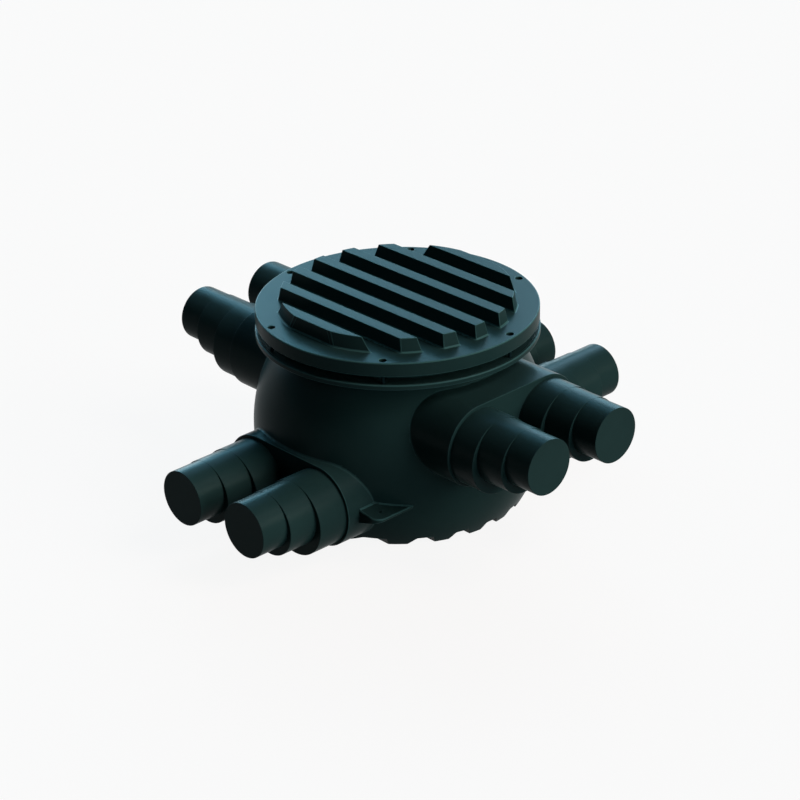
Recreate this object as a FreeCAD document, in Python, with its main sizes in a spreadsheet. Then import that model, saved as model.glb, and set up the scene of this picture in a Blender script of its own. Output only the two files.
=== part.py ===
import FreeCAD, Part
import math
import os
import Sketcher

# Underground junction chamber for insulated pipes: a spherical moulded shell, four pairs of
# stepped pipe stubs on its oval shrouds, and a ribbed round lid bolted down on a seal.
# Frame: +Z up, z = 0 on the base, Z axis through the lid's centre; the high stub
# pairs lie along X and the low pairs along Y. Millimetres.

doc = FreeCAD.newDocument("insulated_pipe_chamber")
sheet = doc.addObject("Spreadsheet::Sheet", "sizes")

SIZES = (
    # shell
    ("sphere_radius", 365.0),
    ("wall", 10.0),
    ("floor_thickness", 6.0),
    # flange and seal seat
    ("flange_height", 434.5),
    ("flange_overhang", 2.0),
    ("flange_thickness", 13.5),
    ("lip_width", 7.0),
    ("lip_chamfer", 3.0),
    ("dish_depth", 4.0),
    ("dish_slope", 4.0),
    ("seat_inset", 50.0),
    ("seat_rise", 17.5),
    ("mouth_margin", 7.0),
    # pipe stubs, each stepped down outwards and all but level along its top
    ("stub_pitch", 227.0),
    ("large_radius", 96.0),
    ("middle_radius", 81.0),
    ("small_radius", 70.0),
    ("high_large_length", 73.5),
    ("low_large_length", 83.5),
    ("middle_length", 80.0),
    ("small_length", 75.0),
    ("stub_wall", 7.0),
    ("low_crown", 220.0),
    ("high_drop", 46.5),
    ("crown_step", 1.0),
    # oval shroud behind each pair of stubs
    ("high_stand", 30.0),
    ("low_stand", 10.0),
    ("shroud_margin", 8.0),
    # grooves under the base, in line with the ribs of the lid
    ("rib_pitch", 88.2),
    ("rib_count", 7),
    ("groove_mouth", 57.0),
    ("groove_roof", 34.0),
    ("groove_depth", 21.0),
    # corner lugs beside the low shrouds
    ("lug_width", 63.5),
    ("lug_setback", 34.0),
    ("lug_top", 134.0),
    ("lug_root", 30.0),
    ("lug_tip", 10.0),
    ("lug_corner", 26.0),
    ("lug_hole_inset_x", 28.5),
    ("lug_hole_inset_y", 35.5),
    ("lug_hole_radius", 4.5),
    # lid
    ("lid_radius", 350.0),
    ("lid_thickness", 35.5),
    ("lid_chamfer", 2.5),
    ("lid_skin", 12.0),
    ("recess_inset", 5.0),
    ("rib_height", 35.0),
    ("rib_top", 32.0),
    ("rib_foot", 41.0),
    ("rib_end_inset", 55.0),
    ("rib_end_draft", 8.0),
    ("rib_end_chamfer", 4.0),
    # seal and insulation
    ("seal_margin", 8.0),
    ("seal_width", 30.0),
    ("seal_thickness", 4.0),
    ("foam_thickness", 30.0),
    ("foam_clearance", 0.5),
    # bolts
    ("bolt_inset", 17.5),
    ("bolt_count", 6),
    ("bolt_turn", 10.5),
    ("well_radius", 9.5),
    ("well_depth", 22.0),
    ("shank_radius", 4.0),
    ("shank_clearance", 0.5),
    ("collar_clearance", 1.0),
    ("collar_thickness", 1.6),
    ("head_inset", 1.0),
    ("head_height", 7.0),
    ("insert_radius", 6.5),
    ("insert_floor", 1.5),
    ("insert_clearance", 0.1),
    ("thread_clearance", 0.15),
)
for row, (alias, value) in enumerate(SIZES, start=1):
    sheet.set("A%d" % row, alias)
    sheet.set("B%d" % row, str(value))
    sheet.setAlias("B%d" % row, alias)
doc.recompute()

# Heights and radii that follow from the sizes above: the rings from the lid's edge inwards,
# the sphere so that its inside meets the mouth's edge under the flange.
LIP_TOP = "(sizes.flange_height + sizes.flange_thickness)"
DISH_TOP = "(%s - sizes.dish_depth)" % LIP_TOP
SEAT_TOP = "(%s + sizes.seat_rise)" % LIP_TOP
LID_BOTTOM = "(%s + sizes.seal_thickness)" % SEAT_TOP
LID_TOP = "(%s + sizes.lid_thickness)" % LID_BOTTOM
SKIN_BOTTOM = "(%s - sizes.lid_skin)" % LID_TOP
FLOOR_TOP = "(sizes.groove_depth + sizes.floor_thickness)"
FLANGE_RADIUS = "(sizes.lid_radius + sizes.flange_overhang)"
BOLT_CIRCLE = "(sizes.lid_radius - sizes.bolt_inset)"
SEAT_RADIUS = "(sizes.lid_radius - sizes.seat_inset)"
SEAL_OUTER = "(%s - sizes.seal_margin)" % SEAT_RADIUS
SEAL_INNER = "(%s - sizes.seal_width)" % SEAL_OUTER
MOUTH_RADIUS = "(%s - sizes.mouth_margin)" % SEAL_INNER
RECESS_RADIUS = "(%s - sizes.recess_inset)" % MOUTH_RADIUS
RIB_END_FOOT = "(sizes.lid_radius - sizes.rib_end_inset)"
RIB_END_TOP = "(%s - sizes.rib_end_draft)" % RIB_END_FOOT
INNER_RADIUS = "(sizes.sphere_radius - sizes.wall)"
SPHERE_HEIGHT = "(sizes.flange_height - sqrt(%s ^ 2 - %s ^ 2))" % (INNER_RADIUS, MOUTH_RADIUS)
CROWN = {"high": "(sizes.flange_height - sizes.high_drop)", "low": "sizes.low_crown"}
REACH = {
    "high": "(sizes.sphere_radius + sizes.high_stand)",
    "low": "(sizes.sphere_radius + sizes.low_stand)",
}
HALF_PITCH = "(sizes.stub_pitch / 2)"
SHROUD_RADIUS = "(sizes.large_radius + sizes.shroud_margin)"
LUG_X = "(%s + %s + sizes.lug_width)" % (HALF_PITCH, SHROUD_RADIUS)
LUG_Y = "(%s - sizes.lug_setback)" % REACH["low"]
LUG_HOLE_X = "(%s - sizes.lug_hole_inset_x)" % LUG_X
LUG_HOLE_Y = "(%s - sizes.lug_hole_inset_y)" % LUG_Y
WELL_FLOOR = "(%s - sizes.well_depth)" % LID_TOP
HEAD_SEAT = "(%s + sizes.collar_thickness)" % WELL_FLOOR
COLLAR_RADIUS = "(sizes.well_radius - sizes.collar_clearance)"
HEAD_RADIUS = "(%s - sizes.head_inset)" % COLLAR_RADIUS
INSERT_BOTTOM = "(sizes.flange_height + sizes.insert_floor)"
INSERT_LENGTH = "(%s - %s)" % (DISH_TOP, INSERT_BOTTOM)


def amount(text):
    """Value of an expression over the sheet's sizes."""
    return float(sheet.evalExpression(text))


def new_body(label):
    body = doc.addObject("PartDesign::Body", label)
    body.Label = label
    return body


def sketch_on(body, name, role, height=None):
    """Sketch on one of the body's own origin planes, raised by an expression."""
    plane = [item for item in body.Origin.OriginFeatures if item.Role == role][0]
    sketch = body.newObject("Sketcher::SketchObject", name)
    sketch.AttachmentSupport = [(plane, "")]
    sketch.MapMode = "FlatFace"
    if height is not None:
        sketch.setExpression("AttachmentOffset.Base.z", height)
    return sketch


def bind(sketch, constraint, text):
    index = sketch.addConstraint(constraint)
    sketch.setExpression("Constraints[%d]" % index, text)


def pin(sketch, geometry, point, x, y):
    """Ties a point to a place given by two expressions."""
    for kind, axis, text in (("DistanceX", -2, x), ("DistanceY", -1, y)):
        if text == "0":
            sketch.addConstraint(Sketcher.Constraint("PointOnObject", geometry, point, axis))
        else:
            bind(sketch, Sketcher.Constraint(kind, -1, 1, geometry, point, amount(text)), text)


def outline(sketch, corners, arcs=None):
    """Closed outline through the corners; arcs maps a segment to (centre x, centre y, radius)."""
    arcs = arcs or {}
    places = [FreeCAD.Vector(amount(x), amount(y), 0) for x, y in corners]
    count = len(corners)
    first = sketch.GeometryCount
    ends = []
    for k, start in enumerate(places):
        stop = places[(k + 1) % count]
        if k not in arcs:
            sketch.addGeometry(Part.LineSegment(start, stop), False)
            ends.append((1, 2))
            continue
        centre = FreeCAD.Vector(amount(arcs[k][0]), amount(arcs[k][1]), 0)
        whole = Part.Circle(centre, FreeCAD.Vector(0, 0, 1), amount(arcs[k][2]))
        turn = (start - centre).cross(stop - centre).z
        a, b = (start, stop) if turn > 0 else (stop, start)
        sketch.addGeometry(Part.ArcOfCircle(whole, whole.parameter(a), whole.parameter(b)), False)
        ends.append((1, 2) if turn > 0 else (2, 1))
    for k in range(count):
        after = (k + 1) % count
        sketch.addConstraint(
            Sketcher.Constraint("Coincident", first + k, ends[k][1], first + after, ends[after][0]))
    for k, (x, y) in enumerate(corners):
        pin(sketch, first + k, ends[k][0], x, y)
    for k, arc in arcs.items():
        bind(sketch, Sketcher.Constraint("Radius", first + k, amount(arc[2])), arc[2])


def circle(sketch, x, y, radius):
    place = FreeCAD.Vector(amount(x), amount(y), 0)
    index = sketch.addGeometry(Part.Circle(place, FreeCAD.Vector(0, 0, 1), amount(radius)), False)
    pin(sketch, index, 3, x, y)
    bind(sketch, Sketcher.Constraint("Radius", index, amount(radius)), radius)


def oval(sketch, half, height, radius):
    """Two half circles of one radius at +half and -half, joined by level lines."""
    across, up, reach = amount(half), amount(height), amount(radius)
    axis = FreeCAD.Vector(0, 0, 1)
    quarter = math.pi / 2
    right = Part.Circle(FreeCAD.Vector(across, up, 0), axis, reach)
    left = Part.Circle(FreeCAD.Vector(-across, up, 0), axis, reach)
    a = sketch.addGeometry(Part.ArcOfCircle(right, -quarter, quarter), False)
    b = sketch.addGeometry(Part.ArcOfCircle(left, quarter, 3 * quarter), False)
    top = (FreeCAD.Vector(across, up + reach, 0), FreeCAD.Vector(-across, up + reach, 0))
    base = (FreeCAD.Vector(-across, up - reach, 0), FreeCAD.Vector(across, up - reach, 0))
    c = sketch.addGeometry(Part.LineSegment(*top), False)
    d = sketch.addGeometry(Part.LineSegment(*base), False)
    for one, other in ((a, c), (c, b), (b, d), (d, a)):
        sketch.addConstraint(Sketcher.Constraint("Tangent", one, 2, other, 1))
    for index, x in ((a, half), (b, "-(%s)" % half)):
        pin(sketch, index, 3, x, height)
        bind(sketch, Sketcher.Constraint("Radius", index, reach), radius)


LEAST_CUT = 1.0  # cubic millimetres that a cut has to take away


def check_cut(body, name, before):
    """A cut has to take material away."""
    if body.Shape.Volume > before - LEAST_CUT:
        raise RuntimeError(name + " cuts nothing")


def feature(body, kind, name, sketch, length=None, symmetric=True, repeated=False):
    """Pad, pocket, revolution or groove of a sketch."""
    before = body.Shape.Volume if kind in ("Pocket", "Groove") else None
    item = body.newObject("PartDesign::" + kind, name)
    item.Profile = sketch
    if length is not None:
        item.SideType = "Symmetric" if symmetric else "One side"
        item.setExpression("Length", length)
    else:
        item.ReferenceAxis = (sketch, ["V_Axis"])
        item.Angle = 360
    doc.recompute()
    if before is not None and not repeated:
        check_cut(body, name, before)
    return item


def pattern(body, kind, name, original, sketch, axis, count):
    item = body.newObject("PartDesign::" + kind, name)
    item.Originals = [original]
    if kind == "LinearPattern":
        item.Direction = (sketch, [axis])
        item.setExpression("Length", "sizes.rib_pitch * (sizes.rib_count - 1)")
    else:
        item.Axis = (sketch, [axis])
        item.Angle = 360
    item.setExpression("Occurrences", count)
    body.Tip = item
    doc.recompute()
    return item


def bolt_place(k):
    """Expressions for the place of one bolt on the bolt circle."""
    turn = "(sizes.bolt_turn + %d * 360 / sizes.bolt_count)" % k
    return "%s * cos(%s)" % (BOLT_CIRCLE, turn), "%s * sin(%s)" % (BOLT_CIRCLE, turn)


def on_sphere(radius, height):
    """Expression for the distance from the Z axis of a sphere's point at a height."""
    return "sqrt((%s) ^ 2 - ((%s) - %s) ^ 2)" % (radius, height, SPHERE_HEIGHT)


# Shell: solid outside first, then everything that is hollow.
shell = new_body("chamber_body")
profile = sketch_on(shell, "shell_profile", "XZ_Plane")
outline(
    profile,
    [
        ("0", "0"),
        (on_sphere("sizes.sphere_radius", "0"), "0"),
        (on_sphere("sizes.sphere_radius", "sizes.flange_height"), "sizes.flange_height"),
        (FLANGE_RADIUS, "sizes.flange_height"),
        (FLANGE_RADIUS, LIP_TOP + " - sizes.lip_chamfer"),
        (FLANGE_RADIUS + " - sizes.lip_chamfer", LIP_TOP),
        (FLANGE_RADIUS + " - sizes.lip_width", LIP_TOP),
        (FLANGE_RADIUS + " - sizes.lip_width - sizes.dish_slope", DISH_TOP),
        (SEAT_RADIUS, DISH_TOP),
        (SEAT_RADIUS, SEAT_TOP),
        ("0", SEAT_TOP),
    ],
    {1: ("0", SPHERE_HEIGHT, "sizes.sphere_radius")},
)
feature(shell, "Revolution", "shell_solid", profile)

# Oval shrouds: the high ones lie along X and the low ones along Y.
PAIRS = (("high", "YZ_Plane"), ("low", "XZ_Plane"))
LARGE_CENTRE = "%s + 2 * sizes.crown_step - sizes.large_radius"
for pair, plane in PAIRS:
    section = sketch_on(shell, pair + "_shroud_section", plane)
    oval(section, HALF_PITCH, LARGE_CENTRE % CROWN[pair], SHROUD_RADIUS)
    feature(shell, "Pad", pair + "_shrouds", section, "2 * " + REACH[pair])

# Lugs: one bar across each side, thinner towards its free edge, rounded at the corners.
section = sketch_on(shell, "lug_section", "XZ_Plane")
for sign in ("", "-"):
    root = sign + "(%s + sizes.large_radius)" % HALF_PITCH
    tip = sign + LUG_X
    outline(
        section,
        [
            (root, "sizes.lug_top"),
            (tip, "sizes.lug_top"),
            (tip, "sizes.lug_top - sizes.lug_tip"),
            (root, "sizes.lug_top - sizes.lug_root"),
        ],
    )
lugs = feature(shell, "Pad", "lugs", section, "2 * " + LUG_Y)
LUG_CORNER = (amount(LUG_X), amount(LUG_Y))
SAME_PLACE = 0.01


def at_corner(vertex):
    gap = abs(abs(vertex.X) - LUG_CORNER[0]) + abs(abs(vertex.Y) - LUG_CORNER[1])
    return gap < SAME_PLACE


corner_edges = []
for number, edge in enumerate(shell.Shape.Edges, start=1):
    if len(edge.Vertexes) == 2 and all(at_corner(vertex) for vertex in edge.Vertexes):
        corner_edges.append("Edge%d" % number)
rounding = shell.newObject("PartDesign::Fillet", "lug_corners")
rounding.Base = (lugs, corner_edges)
rounding.setExpression("Radius", "sizes.lug_corner")
doc.recompute()

# Chamber inside the sphere, open at the mouth.
profile = sketch_on(shell, "chamber_profile", "XZ_Plane")
outline(
    profile,
    [
        ("0", FLOOR_TOP),
        (on_sphere(INNER_RADIUS, FLOOR_TOP), FLOOR_TOP),
        (MOUTH_RADIUS, "sizes.flange_height"),
        (MOUTH_RADIUS, SEAT_TOP),
        ("0", SEAT_TOP),
    ],
    {1: ("0", SPHERE_HEIGHT, INNER_RADIUS)},
)
feature(shell, "Groove", "chamber", profile)

# Hollow of the shrouds, and a way through the shroud's face into each stub.
for pair, plane in PAIRS:
    section = sketch_on(shell, pair + "_shroud_hollow", plane)
    oval(section, HALF_PITCH, LARGE_CENTRE % CROWN[pair], SHROUD_RADIUS + " - sizes.wall")
    depth = "2 * (%s - sizes.wall)" % REACH[pair]
    feature(shell, "Pocket", pair + "_shroud_room", section, depth)
    section = sketch_on(shell, pair + "_way_section", plane)
    for side in (HALF_PITCH, "-" + HALF_PITCH):
        circle(section, side, LARGE_CENTRE % CROWN[pair], "sizes.large_radius - sizes.stub_wall")
    feature(shell, "Pocket", pair + "_ways", section, "2 * " + REACH[pair])

# Grooves along X under the base.
section = sketch_on(shell, "groove_section", "YZ_Plane")
start = "(-sizes.rib_pitch * (sizes.rib_count - 1) / 2)"
outline(
    section,
    [
        (start + " - sizes.groove_mouth / 2", "0"),
        (start + " + sizes.groove_mouth / 2", "0"),
        (start + " + sizes.groove_roof / 2", "sizes.groove_depth"),
        (start + " - sizes.groove_roof / 2", "sizes.groove_depth"),
    ],
)
whole = shell.Shape.Volume
groove = feature(shell, "Pocket", "base_groove", section, "2 * sizes.sphere_radius", repeated=True)
pattern(shell, "LinearPattern", "base_grooves", groove, section, "H_Axis", "sizes.rib_count")
check_cut(shell, "base_grooves", whole)

# Lug holes, and the blind holes for the inserts in the flange.
section = sketch_on(shell, "lug_hole_section", "XY_Plane", "sizes.lug_top")
for x in (LUG_HOLE_X, "-" + LUG_HOLE_X):
    for y in (LUG_HOLE_Y, "-" + LUG_HOLE_Y):
        circle(section, x, y, "sizes.lug_hole_radius")
feature(shell, "Pocket", "lug_holes", section, "sizes.lug_root", False)
section = sketch_on(shell, "insert_hole_section", "XY_Plane", DISH_TOP)
circle(section, *bolt_place(0), "sizes.insert_radius + sizes.insert_clearance")
hole = feature(shell, "Pocket", "insert_hole", section, INSERT_LENGTH, False)
pattern(shell, "PolarPattern", "insert_holes", hole, section, "N_Axis", "sizes.bolt_count")

# Stubs: each seats on its shroud's face and steps down outwards, all but level along its top.
def steps(pair):
    """Steps of a stub as (name, distance from the root to the step's end, height over the crown)."""
    large = "sizes.%s_large_length" % pair
    middle = large + " + sizes.middle_length"
    small = middle + " + sizes.small_length"
    return (
        ("large", large, "2 * sizes.crown_step"),
        ("middle", middle, "sizes.crown_step"),
        ("small", small, "0"),
    )


def step_circle(body, name, step, rise, inset="0"):
    """Sketch of one step of a stub, its top a little above the stub's crown line."""
    sketch = sketch_on(body, name, "YZ_Plane")
    radius = "sizes.%s_radius" % step
    circle(sketch, "0", "%s - %s" % (rise, radius), "%s - %s" % (radius, inset))
    return sketch


def pipe_stub(label, pair, turn, x, y):
    """Hollow stub along its own X axis, closed at its tip, turned about Z and set in place."""
    body = new_body(label)
    for step, length, rise in steps(pair):
        section = step_circle(body, "%s_%s" % (label, step), step, rise)
        feature(body, "Pad", "%s_%s_step" % (label, step), section, length, False)
    for step, length, rise in steps(pair):
        section = step_circle(body, "%s_%s_hollow" % (label, step), step, rise, "sizes.stub_wall")
        depth = "2 * (%s - sizes.stub_wall)" % length
        feature(body, "Pocket", "%s_%s_bore" % (label, step), section, depth)
    body.Placement = FreeCAD.Placement(FreeCAD.Vector(), FreeCAD.Rotation(turn, 0, 0))
    for axis, text in (("x", x), ("y", y), ("z", CROWN[pair])):
        body.setExpression("Placement.Base." + axis, text)
    return body


stubs = []
for k, (end, side) in enumerate((("", ""), ("", "-"), ("-", ""), ("-", "-")), start=1):
    turn = 180 if end else 0
    across = side + HALF_PITCH
    stubs.append(pipe_stub("stub_high_%d" % k, "high", turn, end + REACH["high"], across))
    stubs.append(pipe_stub("stub_low_%d" % k, "low", turn + 90, across, end + REACH["low"]))

# Lid: thick rim, and a thin skin inside it.
lid = new_body("lid")
profile = sketch_on(lid, "lid_profile", "XZ_Plane")
outline(
    profile,
    [
        ("0", SKIN_BOTTOM),
        (RECESS_RADIUS, SKIN_BOTTOM),
        (RECESS_RADIUS, LID_BOTTOM),
        ("sizes.lid_radius", LID_BOTTOM),
        ("sizes.lid_radius", LID_TOP + " - sizes.lid_chamfer"),
        ("sizes.lid_radius - sizes.lid_chamfer", LID_TOP),
        ("0", LID_TOP),
    ],
)
feature(lid, "Revolution", "lid_plate", profile)

# Drafted ribs along X, cut back to a cone with a chamfered foot.
section = sketch_on(lid, "rib_section", "YZ_Plane")
RIB_TOP = "(%s + sizes.rib_height)" % LID_TOP
outline(
    section,
    [
        (start + " - sizes.rib_foot / 2", LID_TOP),
        (start + " + sizes.rib_foot / 2", LID_TOP),
        (start + " + sizes.rib_top / 2", RIB_TOP),
        (start + " - sizes.rib_top / 2", RIB_TOP),
    ],
)
rib = feature(lid, "Pad", "rib", section, "2 * sizes.lid_radius")
pattern(lid, "LinearPattern", "ribs", rib, section, "H_Axis", "sizes.rib_count")
profile = sketch_on(lid, "rib_end_profile", "XZ_Plane")
end_slope = "(sizes.rib_end_draft / sizes.rib_height)"
outline(
    profile,
    [
        (RIB_END_FOOT + " + sizes.rib_end_chamfer", LID_TOP),
        ("2 * sizes.lid_radius", LID_TOP),
        ("2 * sizes.lid_radius", RIB_TOP),
        (RIB_END_TOP, RIB_TOP),
        (RIB_END_FOOT + " - sizes.rib_end_chamfer * " + end_slope, LID_TOP + " + sizes.rib_end_chamfer"),
    ],
)
feature(lid, "Groove", "rib_ends", profile)

# Bolt wells in the rim, with a clearance hole for the shank below each.
section = sketch_on(lid, "well_section", "XY_Plane", LID_TOP)
circle(section, *bolt_place(0), "sizes.well_radius")
well = feature(lid, "Pocket", "well", section, "sizes.well_depth", False)
pattern(lid, "PolarPattern", "wells", well, section, "N_Axis", "sizes.bolt_count")
section = sketch_on(lid, "shank_hole_section", "XY_Plane", LID_TOP)
circle(section, *bolt_place(0), "sizes.shank_radius + sizes.shank_clearance")
hole = feature(lid, "Pocket", "shank_hole", section, "sizes.lid_thickness", False)
pattern(lid, "PolarPattern", "shank_holes", hole, section, "N_Axis", "sizes.bolt_count")

# Flat seal between the seat and the lid, and the insulating disc in the hollow under the skin.
seal = new_body("lid_seal")
section = sketch_on(seal, "seal_section", "XY_Plane", SEAT_TOP)
circle(section, "0", "0", SEAL_OUTER)
circle(section, "0", "0", SEAL_INNER)
feature(seal, "Pad", "seal_ring", section, "sizes.seal_thickness", False)
foam = new_body("lid_insulation")
section = sketch_on(foam, "foam_section", "XY_Plane", SKIN_BOTTOM + " - sizes.foam_thickness")
circle(section, "0", "0", RECESS_RADIUS + " - sizes.foam_clearance")
feature(foam, "Pad", "foam_disc", section, "sizes.foam_thickness", False)


def fastener(label, k):
    """Body on the axis of one bolt."""
    body = new_body("%s_%d" % (label, k + 1))
    for axis, text in zip("xy", bolt_place(k)):
        body.setExpression("Placement.Base." + axis, text)
    return body


# Hexagon bolts with a collar under the head, and threaded inserts, one at each place.
HALF_WIDTH = HEAD_RADIUS + " * cos(30)"
HEXAGON = [
    (HALF_WIDTH, "-" + HEAD_RADIUS + " / 2"),
    (HALF_WIDTH, HEAD_RADIUS + " / 2"),
    ("0", HEAD_RADIUS),
    ("-" + HALF_WIDTH, HEAD_RADIUS + " / 2"),
    ("-" + HALF_WIDTH, "-" + HEAD_RADIUS + " / 2"),
    ("0", "-" + HEAD_RADIUS),
]
fasteners = []
for k in range(int(amount("sizes.bolt_count"))):
    bolt = fastener("lid_bolt", k)
    section = sketch_on(bolt, "shank_section_%d" % k, "XY_Plane", INSERT_BOTTOM)
    circle(section, "0", "0", "sizes.shank_radius")
    feature(bolt, "Pad", "shank_%d" % k, section, "%s - %s" % (HEAD_SEAT, INSERT_BOTTOM), False)
    section = sketch_on(bolt, "collar_section_%d" % k, "XY_Plane", WELL_FLOOR)
    circle(section, "0", "0", COLLAR_RADIUS)
    feature(bolt, "Pad", "collar_%d" % k, section, "sizes.collar_thickness", False)
    section = sketch_on(bolt, "head_section_%d" % k, "XY_Plane", HEAD_SEAT)
    outline(section, HEXAGON)
    feature(bolt, "Pad", "head_%d" % k, section, "sizes.head_height", False)
    insert = fastener("thread_insert", k)
    section = sketch_on(insert, "insert_section_%d" % k, "XY_Plane", INSERT_BOTTOM)
    circle(section, "0", "0", "sizes.insert_radius")
    circle(section, "0", "0", "sizes.shank_radius + sizes.thread_clearance")
    feature(insert, "Pad", "insert_%d" % k, section, INSERT_LENGTH, False)
    fasteners += [bolt, insert]

doc.recompute()
for item in doc.Objects:
    if "Invalid" in item.State or "Error" in item.State:
        raise RuntimeError("%s failed: %s" % (item.Name, item.State))
bodies = [shell] + stubs + [lid, seal, foam] + fasteners
for body in bodies:
    if body.Shape.isNull() or not body.Shape.isValid() or len(body.Shape.Solids) != 1:
        raise RuntimeError(body.Label + " has no single valid solid")

os.makedirs("parts", exist_ok=True)
for body in bodies:
    body.Shape.exportStep("parts/%s.step" % body.Label)
    box = body.Shape.BoundBox
    print("%-16s %10.1f cm3  z %.1f to %.1f" % (body.Label, body.Shape.Volume / 1000, box.ZMin, box.ZMax))
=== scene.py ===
import math

import bmesh
import bpy
from mathutils import Matrix, Vector


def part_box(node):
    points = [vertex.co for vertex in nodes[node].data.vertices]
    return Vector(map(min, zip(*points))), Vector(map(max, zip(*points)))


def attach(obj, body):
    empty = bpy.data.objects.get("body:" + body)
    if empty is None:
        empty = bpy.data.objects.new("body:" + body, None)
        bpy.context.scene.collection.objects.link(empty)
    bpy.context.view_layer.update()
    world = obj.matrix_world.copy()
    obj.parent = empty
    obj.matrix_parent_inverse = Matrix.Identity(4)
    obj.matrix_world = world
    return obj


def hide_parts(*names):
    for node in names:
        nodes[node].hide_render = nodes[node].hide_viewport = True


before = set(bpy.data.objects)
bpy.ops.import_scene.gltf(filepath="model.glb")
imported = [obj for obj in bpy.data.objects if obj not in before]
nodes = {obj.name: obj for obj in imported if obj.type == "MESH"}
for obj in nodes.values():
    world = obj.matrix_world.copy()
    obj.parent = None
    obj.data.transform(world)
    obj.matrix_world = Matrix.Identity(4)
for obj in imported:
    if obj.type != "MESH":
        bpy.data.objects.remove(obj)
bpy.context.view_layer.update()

# Sizes in metres, all in the frame of the solids.
SPHERE_RADIUS = 0.365
SPHERE_HEIGHT = 0.18752
WALL = 0.010
FLOOR_TOP = 0.027
FLANGE_UNDERSIDE = 0.4345
FLANGE_RADIUS = 0.352
LIP_TOP, LIP_WIDTH = 0.448, 0.007
CHANNEL_FLOOR, CHANNEL_EDGE = 0.444, 0.011
SEAT_RADIUS = 0.300
SEAT_TOP = 0.4655
MOUTH_RADIUS = 0.255
BASE_EDGE, NECK_FILLET, SEAT_FILLET, SEAT_EDGE = 0.0035, 0.003, 0.003, 0.002
FLANGE_EDGE, LIP_EDGE, LIP_INNER_EDGE = 0.0025, 0.003, 0.0012
HALF_PITCH = 0.1135
SHROUD_RADIUS = 0.104
SHROUD_RIM = 0.0018
SHROUD_FILLET = 0.006
HIGH_REACH, HIGH_HEIGHT = 0.395, 0.294
LOW_REACH, LOW_HEIGHT = 0.375, 0.126
STUB_WALL = 0.007
STUB_RADII, STUB_LENGTHS = (0.096, 0.081, 0.070), (0.0835, 0.080, 0.075)
HIGH_STUB_LENGTHS = (0.0735, 0.080, 0.075)
STUB_CROWN, STUB_CROWN_STEP, STUB_SEED_DROP = 0.0012, 0.0002, 0.002
STUB_RIM, STUB_RIM_SHARE, LONG_SIDE = 0.0011, 0.4, 0.2
RIB_PITCH, RIB_COUNT = 0.0882, 7
GROOVE_MOUTH, GROOVE_ROOF, GROOVE_DEPTH, GROOVE_BEND = 0.057, 0.034, 0.021, 0.006
LUG_INNER_X, LUG_INNER_Y = 0.190, 0.150
LUG_ROOT_X, LUG_TIP_X, LUG_Y, LUG_CORNER = 0.217, 0.281, 0.341, 0.026
LUG_TOP_ROOT, LUG_TOP_TIP, LUG_FOOT_ROOT, LUG_FOOT_TIP = 0.139, 0.131, 0.104, 0.124
LUG_EDGE, LUG_BEAD = 0.003, 0.0034
LUG_HOLE, LUG_HOLE_RADIUS = (0.2525, 0.3055), 0.0045
LID_RADIUS, LID_BOTTOM, LID_TOP = 0.350, 0.4695, 0.505
LID_EDGE, LID_FOOT_EDGE = 0.003, 0.002
SKIN_BOTTOM, RECESS_RADIUS, RECESS_BEND = 0.493, 0.250, 0.003
RIB_HEIGHT, RIB_TOP_HALF, RIB_FOOT_HALF = 0.035, 0.016, 0.0205
RIB_END_RADIUS, RIB_END_DRAFT = 0.295, 0.008
RIB_FOOT_FILLET, RIB_EDGE, RIB_BEND = 0.004, 0.0014, 0.0016
BOLT_CIRCLE, BOLT_COUNT, BOLT_TURN = 0.3325, 6, math.radians(10.5)
WELL_RADIUS, WELL_FLOOR, WELL_EDGE = 0.0095, 0.483, 0.0015
SHANK_RADIUS, SHANK_FOOT, SHANK_EDGE, SHANK_PLAY = 0.004, 0.436, 0.0008, 0.0005
INSERT_RADIUS, INSERT_CUT_TOP = 0.0066, 0.455
COLLAR_RADIUS, COLLAR_TOP, COLLAR_FOOT_EDGE, COLLAR_EDGE = 0.0085, 0.4846, 0.0004, 0.0005
HEAD_RADIUS, HEAD_TOP, HEAD_SUNK, HEAD_CHAMFER = 0.0075, 0.4916, 0.0003, (0.0066, 0.0014)

# Turns, and the points round a turned body and round a stub.
CORNERS = ((1, 1), (1, -1), (-1, 1), (-1, -1))
QUARTER = math.pi / 2
TURNS, STUB_TURNS = 192, 144

# Shading: edges from SHARP on stay crisp, and flat tops are found by their slope and height.
SHARP = math.radians(28)
TOP_SLOPE, SAME_HEIGHT = 0.8, 0.00003

# Painted edge highlights: how far their faces bend, how narrow they are and how much lighter they are
# painted.
HIGHLIGHT_BEND, HIGHLIGHT_WIDTH, HIGHLIGHT_LIFT = (math.radians(5), math.radians(60)), 0.0022, 2.6
LEVEL, UPRIGHT = 0.9995, 0.05
# Painted sheen on tops: how much stronger the coat is on faces that look up.
TOP_SHEEN = 2.8
LAMP_SPREAD = math.radians(25)


# Mesh helpers.
def object_from(name, bm):
    """New object in the scene from a bmesh, with its faces turned outwards."""
    bmesh.ops.recalc_face_normals(bm, faces=bm.faces)
    mesh = bpy.data.meshes.new(name)
    bm.to_mesh(mesh)
    bm.free()
    piece = bpy.data.objects.new(name, mesh)
    bpy.context.scene.collection.objects.link(piece)
    return piece


def rounded(corners, steps=5):
    """Line through corners given as (across, up, radius), each turned on its radius."""
    line = []
    for k, (x, y, radius) in enumerate(corners):
        corner = Vector((x, y))
        if radius == 0:
            line.append(corner)
            continue
        back = (Vector(corners[k - 1][:2]) - corner).normalized()
        ahead = (Vector(corners[k + 1][:2]) - corner).normalized()
        half = back.angle(ahead) / 2
        reach = radius / math.tan(half)
        centre = corner + (back + ahead).normalized() * (radius / math.sin(half))
        for j in range(steps + 1):
            chord = corner + (back * reach).lerp(ahead * reach, j / steps)
            line.append(centre + (chord - centre).normalized() * radius)
    return line


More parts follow.
